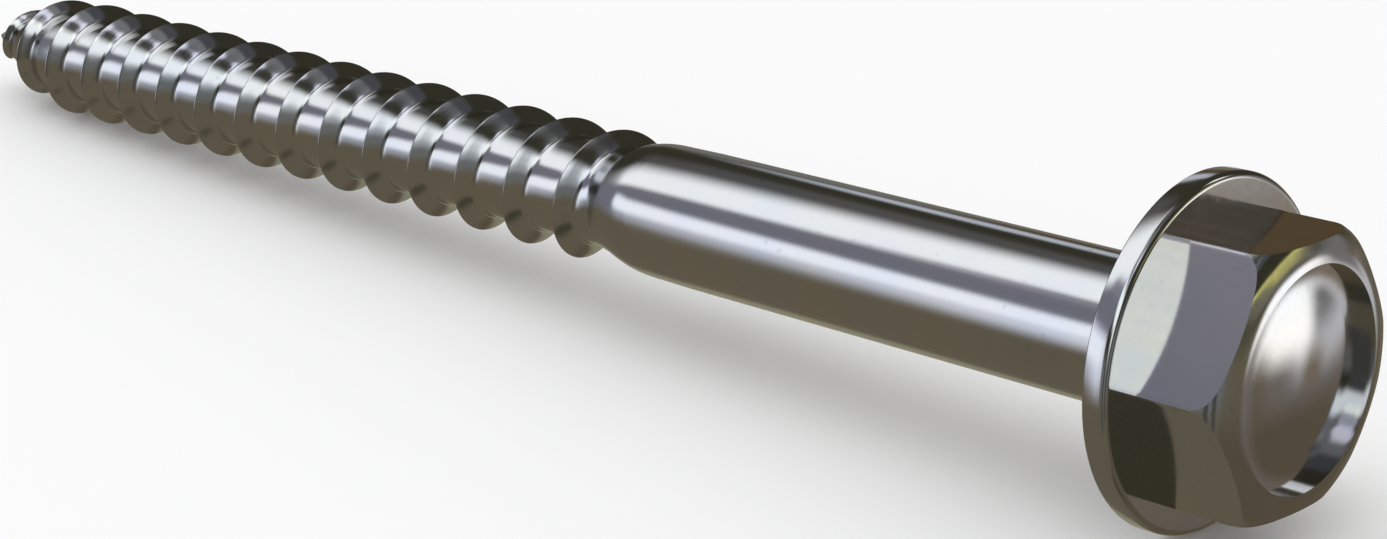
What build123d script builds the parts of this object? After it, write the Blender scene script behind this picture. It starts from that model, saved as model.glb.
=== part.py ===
from build123d import *
import os
from math import asin, ceil, cos, degrees, pi, radians, sin, tan

# A cold-formed lag screw, one solid of steel: 10 mm coarse thread, 130 mm under the head,
# round flange, hexagon for a 17 mm wrench and a recessed crown. It is drawn upright with its
# point down and the flange's bearing face at Z = 0. Then it is laid on its side as it comes
# to rest, on the flange's rim and the last full crest, with its head towards +X, its lowest
# points at Z = 0 and the middle of its bounding box over the origin.

# Shank and thread, in mm and degrees
length = 130.0              # bearing face to point
shank_d = 9.8
thread_d = 10.0             # over the crests
root_d = 7.6
pitch = 5.325               # single start, left hand
flank_angle = 39.0          # each flank, from a plane square to the axis
point_length = 14.2         # crest and root narrow to nothing over this length
point_cones = 5             # the root narrows in this many short cones
point_turn = 166.2          # direction of the crest where it meets the point
shoulder_start = -49.5      # height where the root ends in a cone
shoulder_end = -45.9        # height where the cone meets the shank
shoulder_round = 1.6

# Head
flange_d = 22.8
flange_t = 1.7
flange_bevel = 0.4          # upper edge of the flange
flange_break = 0.2          # lower edge, beside the bearing face
neck_cone = 0.35            # cone between shank and bearing face
across_flats = 16.8
hex_turn = -3.7             # turn of the hexagon about the axis
head_h = 8.4                # bearing face to crown
crown_start = 6.1           # height where the corners start to round off
rim_w = 0.05                # flat land round the recess
rim_slope = 10.0            # slope of the crown beside that land, in degrees
recess_d = 14.2
recess_depth = 1.5          # at the wall
dome_h = 1.3                # rise of the recess's floor at its middle

# Thread ridge
points_per_turn = 12
ridge_sink = 0.12           # its foot lies inside the root by this share of the radius
first_turn = 0.22           # turns above the point where it starts
rise_turns = 0.35           # turns over which it rises from the root
run_out = 0.9               # distance under the shoulder's end where it ends
run_out_turns = 0.45        # turns over which it sinks into the shoulder

# Rest
resting_turn = 2            # whole turns from the point to the crest that touches the ground

shank_r, thread_r, root_r = shank_d / 2, thread_d / 2, root_d / 2
flange_r, recess_r = flange_d / 2, recess_d / 2
corner_r = across_flats / 2 / cos(pi / 6)
dome_r = (recess_r ** 2 + dome_h ** 2) / 2 / dome_h


def narrowing(z):
    """Share of the full radius left at height z, down to nothing at the point."""
    s = min((z + length) / point_length, 1.0)
    return 1 - (1 - s) ** 2


def core():
    """Point, root, shoulder cone and shank, turned about the axis."""
    heights = [-length + point_length * i / point_cones for i in range(point_cones + 1)]
    point = [(root_r * narrowing(z), z) for z in heights]
    with BuildPart() as turned:
        with BuildSketch(Plane.XZ):
            with BuildLine():
                Polyline(*point, (root_r, shoulder_start), (shank_r, shoulder_end),
                         (shank_r, -neck_cone), (shank_r + neck_cone, 0),
                         (shank_r + neck_cone, flange_t / 2), (0, flange_t / 2), (0, -length))
            make_face()
        revolve(axis=Axis.Z)
        rings = turned.edges().filter_by(GeomType.CIRCLE)
        fillet(rings.sort_by(lambda e: abs(e.center().Z - shoulder_end))[0], shoulder_round)
    return turned.part


def ridge():
    """The thread's ridge, a wedge wound along the root, in pieces of about one turn."""
    last_turn = (shoulder_end - run_out + length) / pitch
    turns = last_turn - first_turn
    pieces = ceil(turns)
    steps = pieces * points_per_turn
    crest, lower, upper = [], [], []
    for i in range(steps + 1):
        turn = first_turn + turns * i / steps
        z = -length + pitch * turn
        angle = radians(point_turn - 360 * turn)
        share = narrowing(z)
        rise = min(1, (turn - first_turn) / rise_turns, (last_turn - turn) / run_out_turns)
        foot = root_r * share * (1 - ridge_sink)
        top = foot + (thread_r * share - foot) * (0.2 + 0.8 * rise)
        half = (top - foot) * tan(radians(flank_angle))
        for line, r, dz in ((crest, top, 0), (lower, foot, -half), (upper, foot, half)):
            line.append(Vector(r * cos(angle), r * sin(angle), z + dz))
    lines = [Edge.make_spline(line) for line in (crest, lower, upper)]
    solids = []
    for k in range(pieces):
        a, b, c = [line.trim(k / pieces, (k + 1) / pieces) for line in lines]
        sides = [Face.make_surface_from_curves(*pair) for pair in ((a, b), (a, c), (b, c))]
        ends = [Face(Wire.make_polygon([a @ t, b @ t, c @ t])) for t in (0, 1)]
        solids.append(Solid(Shell(sides + ends)))
    return solids


def head():
    """Flange and hexagon with rounded corners, a crown and a domed recess."""
    with BuildPart() as formed:
        Cylinder(flange_r, flange_t, align=(Align.CENTER, Align.CENTER, Align.MIN))
        lower, upper = formed.edges().filter_by(GeomType.CIRCLE).sort_by(Axis.Z)
        chamfer(upper, flange_bevel)
        chamfer(lower, flange_break)
        crown_r = recess_r + rim_w
        swell = ((crown_r + corner_r * 3) / 4 - 0.02, (head_h * 3 + crown_start) / 4)
        with BuildPart(mode=Mode.PRIVATE) as hexagon:
            with BuildSketch(Plane.XY.offset(flange_t / 2)):
                RegularPolygon(across_flats / 2, 6, major_radius=False, rotation=hex_turn + 30)
            extrude(amount=head_h - flange_t / 2)
            with BuildSketch(Plane.XZ):
                with BuildLine():
                    Polyline((crown_r, head_h), (0, head_h), (0, 0), (corner_r + 1, 0),
                             (corner_r + 1, crown_start), (corner_r, crown_start))
                    Spline((corner_r, crown_start), swell, (crown_r, head_h),
                           tangents=((0, 1), (-1, tan(radians(rim_slope)))))
                make_face()
            revolve(axis=Axis.Z, mode=Mode.INTERSECT)
        add(hexagon.part)
        floor = head_h - recess_depth
        with BuildSketch(Plane.XZ):
            with BuildLine():
                Polyline((0, floor + dome_h), (0, head_h + 1), (recess_r, head_h + 1),
                         (recess_r, floor))
                RadiusArc((0, floor + dome_h), (recess_r, floor), dome_r)
            make_face()
        revolve(axis=Axis.Z, mode=Mode.SUBTRACT)
    return formed.part


def lag_screw():
    """The whole screw, drawn upright."""
    return core().fuse(*ridge()).fuse(head())


def at_rest(screw):
    """Lay the screw down: both contacts at Z = 0, the box's middle over the origin."""
    z = -length + pitch * (resting_turn + point_turn / 360)
    tilt = degrees(asin((flange_r - thread_r * narrowing(z)) / -z))
    lying = screw.rotate(Axis.Y, 90 - tilt)
    box = lying.bounding_box()
    return lying.translate((-box.center().X, -box.center().Y, -box.min.Z))


os.makedirs("parts", exist_ok=True)
export_step(at_rest(lag_screw()), "parts/lag_screw.step")
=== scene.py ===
import bmesh
import bpy
import numpy as np
from math import asin, ceil, cos, pi, radians, sin, tan
from mathutils import Matrix, Vector


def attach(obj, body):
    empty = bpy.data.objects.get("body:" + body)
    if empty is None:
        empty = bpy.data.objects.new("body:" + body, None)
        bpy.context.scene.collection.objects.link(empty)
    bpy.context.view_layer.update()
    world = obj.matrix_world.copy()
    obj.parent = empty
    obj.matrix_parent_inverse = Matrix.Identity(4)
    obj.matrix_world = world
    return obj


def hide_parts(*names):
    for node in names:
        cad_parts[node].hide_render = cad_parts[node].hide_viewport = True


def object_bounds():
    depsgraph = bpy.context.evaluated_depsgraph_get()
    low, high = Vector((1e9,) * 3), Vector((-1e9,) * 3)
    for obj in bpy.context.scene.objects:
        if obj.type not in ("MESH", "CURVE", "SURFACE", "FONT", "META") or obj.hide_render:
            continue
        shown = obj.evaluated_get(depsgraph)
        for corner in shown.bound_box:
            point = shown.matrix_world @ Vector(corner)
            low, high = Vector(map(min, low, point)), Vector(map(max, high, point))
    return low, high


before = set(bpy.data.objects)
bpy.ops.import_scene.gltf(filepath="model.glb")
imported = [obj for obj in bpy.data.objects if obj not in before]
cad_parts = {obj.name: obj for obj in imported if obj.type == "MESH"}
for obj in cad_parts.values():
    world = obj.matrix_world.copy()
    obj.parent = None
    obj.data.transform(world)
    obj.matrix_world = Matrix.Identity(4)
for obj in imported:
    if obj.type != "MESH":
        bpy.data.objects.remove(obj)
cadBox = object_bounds()
mm = 0.001


def link(name, data):
    o = bpy.data.objects.new(name, data)
    bpy.context.scene.collection.objects.link(o)
    return o


# Lengths in mm, angles in degrees. The screw is worked out upright, with its bearing
# face at height 0, its point down at -length and its head above.
screw = {
    "length": 130.0,            # bearing face to point
    "shankR": 4.9,
    "threadR": 5.0,             # over the crests
    "rootR": 3.8,
    "pitch": 5.325,
    "flankAngle": 39.0,         # from a plane square to the axis
    "pointLength": 14.2,        # crest and root narrow to nothing over this length
    "pointTurn": 166.2,         # direction of the crest where it meets the point
    "shoulder": (-49.5, -45.9),  # where the cone between root and shank starts and ends
    "shoulderRound": 0.35,
    "shoulderReach": 1.4,       # height over the shoulder where the stations turn into rings
    "crestRound": 0.04,
    "footRound": 0.16,          # how softly the flanks run into the root
    "firstTurn": 0.22,          # turns above the point where the ridge starts
    "riseTurns": 0.35,          # turns over which it rises to full height
    "riseFrom": 0.2,            # share of its height that it starts with
    "buried": 0.88,             # an absent ridge lies at this share of the root's radius
    "leastHeight": 0.02,        # least height that counts towards its half width
    "runOut": 0.9,              # distance under the shoulder's end where the ridge ends
    "runOutTurns": 0.45,
    "neckRound": 0.35,
    "closingHeight": 0.5,       # inside the head
    "columns": 132,
    # stations across half a pitch: shares of the flank, then shares of the rest
    "flankStations": (0.0, 0.03, 0.1, 0.35, 0.65, 0.85, 0.95, 1.0),
    "rootStations": (0.04, 0.12, 0.3, 0.6, 1.0),
}

head = {
    "flangeR": 11.4,
    "flangeT": 1.7,
    "flangeRound": 0.42,
    "flangeBreak": 0.2,         # round on its lower edge
    "undersideRings": (0, 4.0, 9.0),
    "gap": 0.02,                # from a rounded edge to the next ring
    "flatR": 8.4,               # axis to flat
    "turn": -3.7,               # direction of one flat
    "cornerSharp": 420.0,       # higher is sharper
    "height": 8.4,
    "crownStart": 6.1,          # height where the corners start to round off
    "landSlopes": (5.0, 20.0),  # slope beside the recess and where the crown begins
    "landWidth": 0.9,
    "crownPower": 5.0,          # higher keeps the crown straight for longer
    "recessR": 7.1,
    "recessDepth": 0.8,         # at the wall
    "domeHeight": 0.66,
    "domeBend": (5.0, 6.5),     # radii where its slope starts to ease and where it is level
    "levelR": 6.6,              # a ring on the level part of the floor
    "columns": 480,
    "flangeShares": (0.02, 0.3, 0.7, 0.95, 1.0),  # rings on the flange's upper face
    "flatShares": (0.04, 0.3, 0.65, 0.95),        # and on the flats
}


def narrowing(z):
    # share of the full radius left at height z: 1 - (1 - s)^2, s counted from the point
    s = np.clip((z + screw["length"]) / screw["pointLength"], 0, 1)
    return 1 - (1 - s) ** 2


def softMax(a, b, width):
    # the larger of two radii, with the step between them rounded over about that width
    return (a + b + np.sqrt((a - b) ** 2 + width ** 2)) / 2


def coreRadius(z):
    # root narrowed to the point, then a cone up to the shank with its upper corner rounded
    low, high = screw["shoulder"]
    cone = screw["rootR"] + (screw["shankR"] - screw["rootR"]) * (z - low) / (high - low)
    upper = -softMax(-cone, -screw["shankR"] * np.ones_like(z), screw["shoulderRound"])
    return np.maximum(screw["rootR"] * narrowing(z), upper)


def crestRadius(turn):
    # radius of the ridge's top at a number of turns above the point, and its half width
    # at the root
    z = -screw["length"] + screw["pitch"] * turn
    last = (screw["shoulder"][1] - screw["runOut"] + screw["length"]) / screw["pitch"]
    share = narrowing(z)
    rise = (turn - screw["firstTurn"]) / screw["riseTurns"]
    rise = np.clip(np.minimum(rise, (last - turn) / screw["runOutTurns"]), 0, 1)
    foot = screw["rootR"] * share * screw["buried"]
    least = screw["riseFrom"]
    top = foot + (screw["threadR"] * share - foot) * (least + (1 - least) * rise)
    top = np.where((turn < screw["firstTurn"]) | (turn > last), foot, top)
    height = np.maximum(top - screw["rootR"] * share, screw["leastHeight"])
    return top, height * tan(radians(screw["flankAngle"]))


def threadedGrid():
    # Columns run round the axis and stations along it. In the threaded part the stations
    # follow the crests: each column's are shifted by its share of a pitch, so that the last
    # column is the first one moved along by one pitch. Stations past the ends are gathered
    # on the end circles.
    n = screw["columns"]
    theta = 2 * pi * np.arange(n + 1) / n
    inner, outer = np.array(screw["flankStations"]), np.array(screw["rootStations"])
    start = screw["pointTurn"] / 360 - theta / (2 * pi)
    low, high = -screw["length"], screw["shoulder"][1] + screw["shoulderReach"]
    turns = np.arange(-1, ceil((high - low) / screw["pitch"]) + 2)
    turn = start[:, None] + turns[None, :]
    top, half = crestRadius(turn)
    mid = screw["pitch"] / 2
    offsets = []
    for side in (-1, 1):
        near = side * half[..., None] * inner
        far = side * (half[..., None] + (mid - half[..., None]) * outer)
        offsets.append(np.concatenate([near, far], -1))
    below, above = offsets[0][..., ::-1], offsets[1][..., 1:-1]
    dz = np.concatenate([below, above], -1)
    crestZ = low + screw["pitch"] * turn
    z = np.clip(crestZ[..., None] + dz, low, high)
    # ridge = top - distance from the crest / tan(flank angle), its edge rounded over
    away = np.abs(z - crestZ[..., None])
    blunt = np.sqrt(away ** 2 + screw["crestRound"] ** 2) - screw["crestRound"]
    ridge = top[..., None] - blunt / tan(radians(screw["flankAngle"]))
    core = coreRadius(z)
    width = screw["footRound"] * narrowing(z)
    nearCore = 1.0
    r = np.where(ridge > core - nearCore, softMax(core, ridge, width), core)
    r = np.where(core < 1e-6, 0, r)
    r = np.minimum(r, np.maximum(core, top[..., None]))
    z, r = z.reshape(n + 1, -1), r.reshape(n + 1, -1)
    # plain shank, neck fillet and a closed end inside the head
    a = np.linspace(0, pi / 2, 7)[1:]
    neck, shank, end = screw["neckRound"], screw["shankR"], screw["closingHeight"]
    plainZ = np.linspace(high, -neck, 12)[1:]
    ringZ = np.concatenate([plainZ, -neck + neck * np.sin(a), [end, end]])
    ringR = np.concatenate([np.full(len(plainZ), shank), shank + neck * (1 - np.cos(a)),
                            [shank + neck, 0]])
    z = np.concatenate([z, np.tile(ringZ, (n + 1, 1))], 1)
    r = np.concatenate([r, np.tile(ringR, (n + 1, 1))], 1)
    return theta, r, z


def arcOf(centreR, centreZ, radius, first, last, count):
    # points on a circular corner of the profile, angles in degrees
    a = np.radians(np.linspace(first, last, count))
    return centreR + radius * np.cos(a), centreZ + radius * np.sin(a)


def headGrid():
    # Each column is the head's profile at its angle, and one column lies on every corner.
    # The flange, crown, recess and dome are the same all round. A flat's distance is flatR /
    # cos(angle from its normal), and the crown is cut off where it is as wide as that:
    # hexR = flatR / (sum of cos(angle from each normal)^sharp)^(1 / sharp).
    n = head["columns"]
    theta = 2 * pi * np.arange(n + 1) / n + radians(head["turn"] + 30)
    flats = np.radians(head["turn"] + 60 * np.arange(6))
    away = np.cos(theta[:, None] - flats[None, :])
    near = away.max(1)
    sharp = head["cornerSharp"]
    corner = (np.clip(away / near[:, None], 0, 1) ** sharp).sum(1) ** (1 / sharp)
    hexR = head["flatR"] / near / corner
    one = np.ones(n + 1)
    R, T = head["flangeR"], head["flangeT"]
    rows = []

    def ring(r, z):
        for a, b in zip(np.atleast_1d(r), np.atleast_1d(z)):
            rows.append((a * one, b * one))

    b, f = head["flangeBreak"], head["flangeRound"]
    ring([*head["undersideRings"], R - b - head["gap"]], [0, 0, 0, 0])
    ring(*arcOf(R - b, b, b, -90, 0, 5))
    ring(*arcOf(R - f, T - f, f, 0, 90, 8))
    # flange's upper face up to the flats
    for s in head["flangeShares"]:
        rows.append((R - f + (hexR - R + f) * s, T * one))
    # The land beside the recess steepens evenly from its first slope to its last. The crown
    # goes on from there, and a power curve bends it down to the corners: drop = slope *
    # (r - landR) + bend * (1 - sqrt(1 - s^power)), with s counted from land to corner.
    cornerR = head["flatR"] / cos(pi / 6)
    landR = head["recessR"] + head["landWidth"]
    wide = cornerR - landR
    first, slope = (tan(radians(a)) for a in head["landSlopes"])
    landZ = head["height"] - (first + slope) / 2 * head["landWidth"]
    bend = landZ - head["crownStart"] - slope * wide
    power = head["crownPower"]
    endAngle = np.arcsin(np.clip((hexR - landR) / wide, 0, 1) ** (power / 2))

    def crownPoint(share):
        # equal steps of arcsin(s^(power / 2)) are closer together where the curve is steep
        a = endAngle * (1 - share)
        r = landR + wide * np.sin(a) ** (2 / power)
        return r, landZ - slope * (r - landR) - bend * (1 - np.cos(a))

    startZ = crownPoint(0)[1]
    for s in head["flatShares"]:
        rows.append((hexR, T + (startZ - T) * s))
    crownRows, landRows, domeRows = 20, 10, 9
    for s in np.linspace(0, 1, crownRows):
        rows.append(crownPoint(s))
    for out in np.linspace(head["landWidth"], 0, landRows)[1:]:
        drop = first * out + (slope - first) * out ** 2 / 2 / head["landWidth"]
        ring([head["recessR"] + out], [head["height"] - drop])
    # wall, and a floor that is level at the wall and domed in the middle: its slope
    # grows evenly out to the first bend radius and eases evenly to nothing at the second
    floor = head["height"] - head["recessDepth"]
    wallR = head["recessR"]
    ring([wallR, wallR], [floor + head["recessDepth"] / 2, floor])
    near, far = head["domeBend"]
    steep = 2 * head["domeHeight"] / far
    easing, rest = np.linspace(far, near, domeRows), np.linspace(near, 0, domeRows)
    for r in np.concatenate([[head["levelR"]], easing, rest[1:]]):
        inner = head["domeHeight"] - steep * r ** 2 / 2 / near
        outer = steep * max(far - r, 0) ** 2 / 2 / (far - near)
        ring([r], [floor + (inner if r < near else outer)])
    r = np.stack([a for a, _ in rows], 1)
    z = np.stack([b for _, b in rows], 1)
    return theta, r, z


def layDown():
    # The screw rests on the flange's rim and on the crest two turns and a part above the
    # point: it is turned about Y until both are level, then moved over the origin.
    # sin(tilt) = (flange radius - crest radius) / distance between them
    z = -screw["length"] + screw["pitch"] * (2 + screw["pointTurn"] / 360)
    tilt = asin((head["flangeR"] - screw["threadR"] * float(narrowing(z))) / -z)
    turned = Matrix.Rotation(pi / 2 - tilt, 4, "Y")
    tipX = -screw["length"] * mm * cos(tilt)
    edge = head["flangeBreak"]
    rimZ = -(head["flangeR"] - edge) * mm * cos(tilt) + edge * mm * (sin(tilt) - 1)
    return Matrix.Translation((cadBox[0][0] - tipX, 0, -rimZ)) @ turned, tilt


laid, tilt = layDown()


def surface(name, grids, sharpFrom=20):
    # every grid becomes quads, doubled points are merged and cells of no area dropped,
    # and edges that turn by sharpFrom degrees or more stay sharp
    points, quads, base = [], [], 0
    for theta, r, z in grids:
        x = r * np.cos(theta)[:, None]
        y = r * np.sin(theta)[:, None]
        points.append(np.stack([x, y, z], -1).reshape(-1, 3))
        columns, rows = r.shape
        i, j = np.meshgrid(np.arange(columns - 1), np.arange(rows - 1), indexing="ij")
        a = (base + i * rows + j).ravel()
        quads.append(np.stack([a, a + rows, a + rows + 1, a + 1], 1))
        base += columns * rows
    points = np.concatenate(points) * mm
    move = np.array(laid)
    points = points @ move[:3, :3].T + move[:3, 3]
    points[:, 2] -= points[:, 2].min()
    mesh = bpy.data.meshes.new(name)
    mesh.from_pydata(points.tolist(), [], np.concatenate(quads).tolist())
    b = bmesh.new()
    b.from_mesh(mesh)
    bmesh.ops.remove_doubles(b, verts=b.verts, dist=2e-6)
    bmesh.ops.dissolve_degenerate(b, edges=b.edges, dist=1e-7)
    bmesh.ops.recalc_face_normals(b, faces=b.faces)
    for e in b.edges:
        e.smooth = len(e.link_faces) == 2 and e.calc_face_angle(0) < radians(sharpFrom)
    for face in b.faces:
        face.smooth = True
    b.to_mesh(mesh)
    b.free()
    return link(name, mesh)


body = surface("screwBody", [threadedGrid(), headGrid()])
print("screw", len(body.data.vertices), "points", len(body.data.polygons), "faces")
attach(body, "root")
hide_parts("lag_screw")

# Bright zinc-plated steel: a warm and a cool tint in soft clouds, fine lengthwise drawing
# marks that stir the reflections, and a thin scatter of duller specks.
steel = {
    "warm": (0.635, 0.625, 0.6),
    "cool": (0.595, 0.605, 0.62),
    "cloudScale": 160.0,        # to the metre
    "cloudRange": (0.35, 0.65),
    "roughness": (0.09, 0.125),
    "streakScale": (45.0, 1500.0, 1500.0),  # along the screw and across it
    "streakRange": (0.3, 0.7),  # noise that spans the roughness
    "streakDepth": 1.1e-6,
    "speckScale": 1100.0,
    "speckRange": (0.69, 0.78),  # noise over this becomes a speck
    "speckShade": 0.92,
    "speckRoughness": 0.05,     # added on a speck
}


def steelMaterial():
    m = bpy.data.materials.new("polishedSteel")
    m.use_nodes = True
    nodes, links = m.node_tree.nodes, m.node_tree.links
    p = nodes["Principled BSDF"]
    p.inputs["Metallic"].default_value = 1

    def node(kind, **values):
        made = nodes.new(kind)
        for name, value in values.items():
            setattr(made, name, value)
        return made

    def noise(source, scale, detail):
        made = node("ShaderNodeTexNoise")
        made.inputs["Scale"].default_value = scale
        made.inputs["Detail"].default_value = detail
        links.new(source, made.inputs["Vector"])
        return made.outputs["Fac"]

    def ranged(source, first, last, low, high):
        made = node("ShaderNodeMapRange")
        made.inputs["From Min"].default_value = first
        made.inputs["From Max"].default_value = last
        made.inputs["To Min"].default_value = low
        made.inputs["To Max"].default_value = high
        links.new(source, made.inputs["Value"])
        return made.outputs["Result"]

    # Object coordinates turned so that X follows the tilted axis
    coordinates = node("ShaderNodeTexCoord").outputs["Object"]
    along = node("ShaderNodeMapping")
    along.inputs["Rotation"].default_value = (0, tilt, 0)
    links.new(coordinates, along.inputs["Vector"])
    stretched = node("ShaderNodeMapping")
    stretched.inputs["Scale"].default_value = steel["streakScale"]
    links.new(along.outputs["Vector"], stretched.inputs["Vector"])

    clouds = ranged(noise(coordinates, steel["cloudScale"], 3), *steel["cloudRange"], 0, 1)
    streaks = noise(stretched.outputs["Vector"], 1, 2)
    specks = ranged(noise(coordinates, steel["speckScale"], 1), *steel["speckRange"], 0, 1)

    tint = node("ShaderNodeMix", data_type="RGBA")
    links.new(clouds, tint.inputs["Factor"])
    tint.inputs["A"].default_value = (*steel["warm"], 1)
    tint.inputs["B"].default_value = (*steel["cool"], 1)
    shade = ranged(specks, 0, 1, 1, steel["speckShade"])
    shaded = node("ShaderNodeVectorMath", operation="SCALE")
    links.new(tint.outputs["Result"], shaded.inputs[0])
    links.new(shade, shaded.inputs["Scale"])
    links.new(shaded.outputs["Vector"], p.inputs["Base Color"])

    duller = node("ShaderNodeMath", operation="MULTIPLY_ADD")
    links.new(specks, duller.inputs[0])
    duller.inputs[1].default_value = steel["speckRoughness"]
    rubbed = ranged(streaks, *steel["streakRange"], *steel["roughness"])
    links.new(rubbed, duller.inputs[2])
    links.new(duller.outputs["Value"], p.inputs["Roughness"])

    bump = node("ShaderNodeBump")
    bump.inputs["Distance"].default_value = steel["streakDepth"]
    links.new(streaks, bump.inputs["Height"])
    links.new(bump.outputs["Normal"], p.inputs["Normal"])
    return m


body.data.materials.append(steelMaterial())
print("steel on", body.name)

# Polished steel shows the room. The room is a dome of dark cloth with soft boxes, painted by
# direction: azimuth from +X towards +Y and height above the horizon, both in degrees.
studio = {
    "floor": (0.86, 0.86, 0.86),
    "floorRoughness": 0.9,
    "floorSize": 8.0,           # metres
    "skyStrength": 1.04,
    "lampPlace": (-0.3, -0.2, 1.2),
    "lampSize": 1.2,
    "lampPower": 2.5,
    "domeR": 2.0,
    "domeCells": (240, 120),    # round and up
    "ground": (0.165, 0.142, 0.1),
    "cloth": (0.046, 0.044, 0.03),
    "horizon": (-6, 14),        # where the ground starts to give way to cloth, and over what
    # azimuth, height, half width, half height, turn, softness, colour
    "boxes": [
        (-106, 58, 24, 16, 0, 16, (0.46, 0.49, 0.55)),      # grey wall, far left
        (-38, 62, 30, 12, 0, 18, (0.24, 0.25, 0.27)),       # haze over the camera
        (-55, -3, 65, 11, 0, 14, (0.19, 0.2, 0.2)),         # horizon in front
        (156, 44, 10, 9, 0, 12, (0.11, 0.11, 0.11)),        # its darker right end
        (-152, 46, 22, 30, 0, 25, (1.28, 1.33, 1.4)),       # large box up on the left
        (-136, 22, 40, 14, 38, 8, (0.22, 0.225, 0.275)),    # lavender wall under it
        (-131, 39, 9, 4, 0, 7, (0.3, 0.29, 0.35)),
        (-138, -2, 13, 7, 0, 16, (0.5, 0.53, 0.62)),        # glow under the left box
        (-120, -2, 10, 13, 0, 20, (0.95, 1.0, 1.15)),
        (-134, 7.5, 18, 8, 0, 9, (1.25, 1.31, 1.46)),       # left box
        (-40, 9, 9, 8, 0, 10, (0.42, 0.46, 0.5)),           # glow under the long box
        (-66, 34, 34, 11, -31, 12, (1.3, 1.39, 1.47)),      # long box by the camera
        (-50, 37, 6, 5, 0, 7, (1.7, 1.78, 1.7)),            # its bright middle
        (-46, 46, 7, 5, 0, 5, (0.62, 0.63, 0.75)),          # boxes overhead on the right
        (-34, 55, 8, 6, 0, 6, (1.15, 1.17, 1.4)),
        (27, 60, 9, 8, 0, 6, (0.09, 0.092, 0.105)),
        (45, -42, 42, 22, 0, 12, (0.13, 0.105, 0.072)),     # darker ground beyond the head
        (56, -17, 20, 5, 0, 8, (0.2, 0.178, 0.165)),        # low boxes there
        (61, -12, 14, 5.5, 0, 7, (0.68, 0.67, 0.69)),
        (61, -3, 9, 8, 0, 6, (0.22, 0.215, 0.22)),
        (44.5, -6.5, 10.5, 6, -6, 7, (1.6, 1.6, 1.6)),      # the brightest of them
        (56, -17, 5, 3, -10, 6, (0.21, 0.165, 0.11)),       # brown strip across them
        (35, 6, 18, 2.5, 0, 3, (0.2, 0.19, 0.15)),          # gap over them
        (32, 10, 18, 1.3, 0, 2.4, (0.95, 0.9, 0.3)),        # yellow rail over them
        (58.5, 26, 3.5, 8, 0, 3, (1.4, 1.43, 1.55)),        # narrow box behind
        (57, 13, 6, 5, 0, 4, (0.1, 0.08, 0.055)),           # brown stand before it
        (-23, -6, 10, 17, 0, 8, (0.09, 0.09, 0.08)),        # dark gap on the right
        (-10, -55, 12, 7, 0, 10, (0.07, 0.07, 0.045)),      # shaded ground there
        (-62, -5, 9, 28, 0, 6, (0.085, 0.085, 0.08)),       # dark stand in front
        (126, 2, 12, 11, 0, 8, (0.19, 0.185, 0.165)),       # far edge of the table
        (121, 10, 6, 5, 0, 4, (0.105, 0.07, 0.034)),        # brown strip on it
        (130, -34, 17, 17, 0, 8, (0.3, 0.285, 0.2)),        # pale sheet on the table
        (130, -14, 12, 3, 0, 4, (0.98, 0.98, 0.95)),        # and its bright edge
        (128, 20.5, 6, 5, 0, 5, (0.6, 0.64, 0.74)),         # small box over the table
    ],
}


def floorPiece():
    h = studio["floorSize"] / 2
    mesh = bpy.data.meshes.new("floor")
    mesh.from_pydata([(-h, -h, 0), (h, -h, 0), (h, h, 0), (-h, h, 0)], [], [(0, 1, 2, 3)])
    pale = bpy.data.materials.new("paleFloor")
    pale.use_nodes = True
    p = pale.node_tree.nodes["Principled BSDF"]
    p.inputs["Base Color"].default_value = (*studio["floor"], 1)
    p.inputs["Roughness"].default_value = studio["floorRoughness"]
    mesh.materials.append(pale)
    o = link("floor", mesh)
    o.visible_glossy = False


def roomColour(azimuth, height):
    # Every box is laid over what is behind it, with its edges faded over its softness:
    # weight = smoothstep(fade across * fade upwards).
    start, fade = studio["horizon"]
    above = np.clip((height - start) / fade, 0, 1)[..., None]
    colour = np.array(studio["ground"]) * (1 - above) + np.array(studio["cloth"]) * above
    for az, el, wide, high, turn, soft, shade in studio["boxes"]:
        across = (azimuth - az + 180) % 360 - 180
        across = across * np.cos(np.radians(height))
        up = height - el
        c, s = cos(radians(turn)), sin(radians(turn))
        u, v = across * c + up * s, up * c - across * s
        weight = np.clip((wide - np.abs(u)) / soft + 0.5, 0, 1)
        weight = weight * np.clip((high - np.abs(v)) / soft + 0.5, 0, 1)
        weight = (weight * weight * (3 - 2 * weight))[..., None]
        colour = colour * (1 - weight) + np.array(shade) * weight
    return colour


def glowMaterial():
    m = bpy.data.materials.new("roomLight")
    m.use_nodes = True
    nodes, links = m.node_tree.nodes, m.node_tree.links
    nodes.remove(nodes["Principled BSDF"])
    glow = nodes.new("ShaderNodeEmission")
    read = nodes.new("ShaderNodeAttribute")
    read.attribute_name = "light"
    links.new(read.outputs["Color"], glow.inputs["Color"])
    links.new(glow.outputs["Emission"], nodes["Material Output"].inputs["Surface"])
    m.cycles.emission_sampling = "NONE"
    return m


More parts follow.
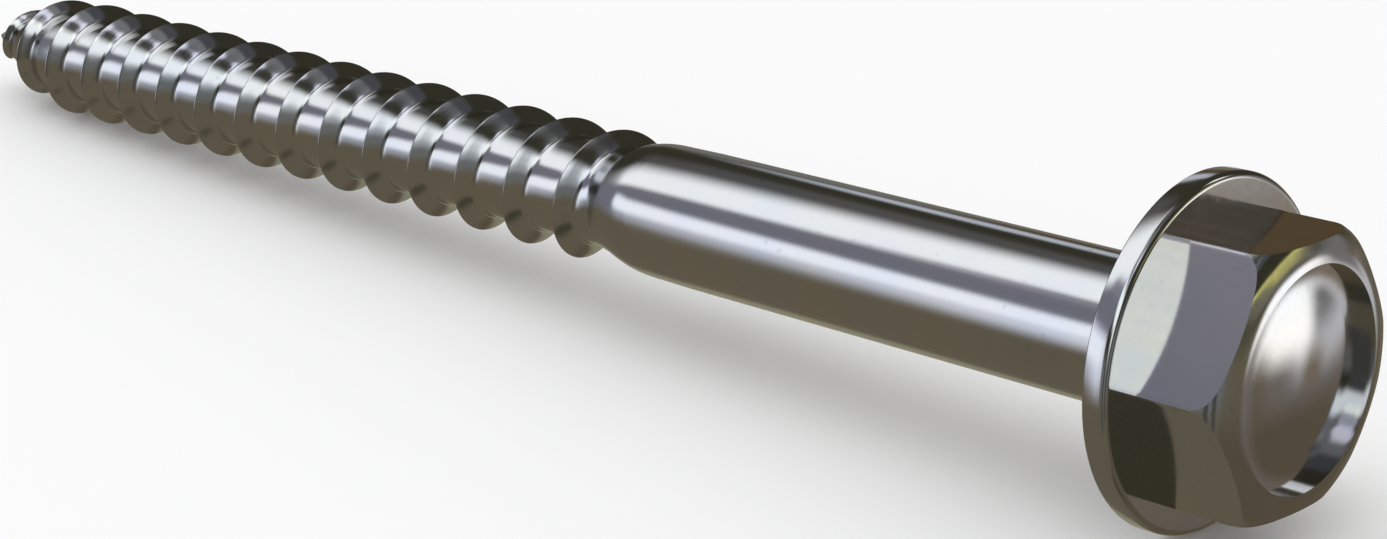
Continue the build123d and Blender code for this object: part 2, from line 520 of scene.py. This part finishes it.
def roomPiece():
    # a globe of cells that only reflections see, its colours kept at its points
    n, m = studio["domeCells"]
    azimuth, height = np.meshgrid(np.linspace(-180, 180, n + 1), np.linspace(-89.9, 89.9, m + 1),
                                  indexing="ij")
    a, e = np.radians(azimuth), np.radians(height)
    points = np.stack([np.cos(e) * np.cos(a), np.cos(e) * np.sin(a), np.sin(e)], -1)
    points = points.reshape(-1, 3) * studio["domeR"]
    i, j = np.meshgrid(np.arange(n), np.arange(m), indexing="ij")
    k = (i * (m + 1) + j).ravel()
    quads = np.stack([k, k + 1, k + m + 2, k + m + 1], 1)
    mesh = bpy.data.meshes.new("room")
    mesh.from_pydata(points.tolist(), [], quads.tolist())
    paint = mesh.attributes.new("light", "FLOAT_COLOR", "POINT")
    colour = roomColour(azimuth, height)
    opaque = np.ones(colour.shape[:2] + (1,))
    paint.data.foreach_set("color", np.concatenate([colour, opaque], -1).ravel())
    mesh.materials.append(glowMaterial())
    o = link("room", mesh)
    o.visible_camera = o.visible_diffuse = o.visible_shadow = False
    o.visible_transmission = o.visible_volume_scatter = False


def topLamp():
    data = bpy.data.lights.new("topLamp", "AREA")
    data.size = studio["lampSize"]
    data.energy = studio["lampPower"]
    o = link("topLamp", data)
    o.location = studio["lampPlace"]
    o.rotation_euler = Vector(studio["lampPlace"]).to_track_quat("Z", "Y").to_euler()
    o.visible_glossy = False


floorPiece()
roomPiece()
topLamp()

world = bpy.data.worlds.new("studio")
bpy.context.scene.world = world
world.use_nodes = True
sky = world.node_tree.nodes["Background"]
sky.inputs["Color"].default_value = (1, 1, 1, 1)
sky.inputs["Strength"].default_value = studio["skyStrength"]
print("studio", len(studio["boxes"]), "boxes")

# place in mm, turn in degrees, lens and sensor in mm
view = {
    "place": (151.11, -138.36, 80.20),
    "turn": (69.211, -0.079, 43.852),
    "lens": 74.95,
    "sensor": 36,
    "shift": (-0.001, -0.0212),
    "nearest": 0.01,            # metres
}
camera = link("camera", bpy.data.cameras.new("camera"))
camera.location = Vector(view["place"]) * mm
camera.rotation_euler = [radians(a) for a in view["turn"]]
camera.data.sensor_width = view["sensor"]
camera.data.lens = view["lens"]
camera.data.shift_x, camera.data.shift_y = view["shift"]
camera.data.clip_start = view["nearest"]
bpy.context.scene.camera = camera
bpy.context.scene.view_settings.view_transform = "Standard"
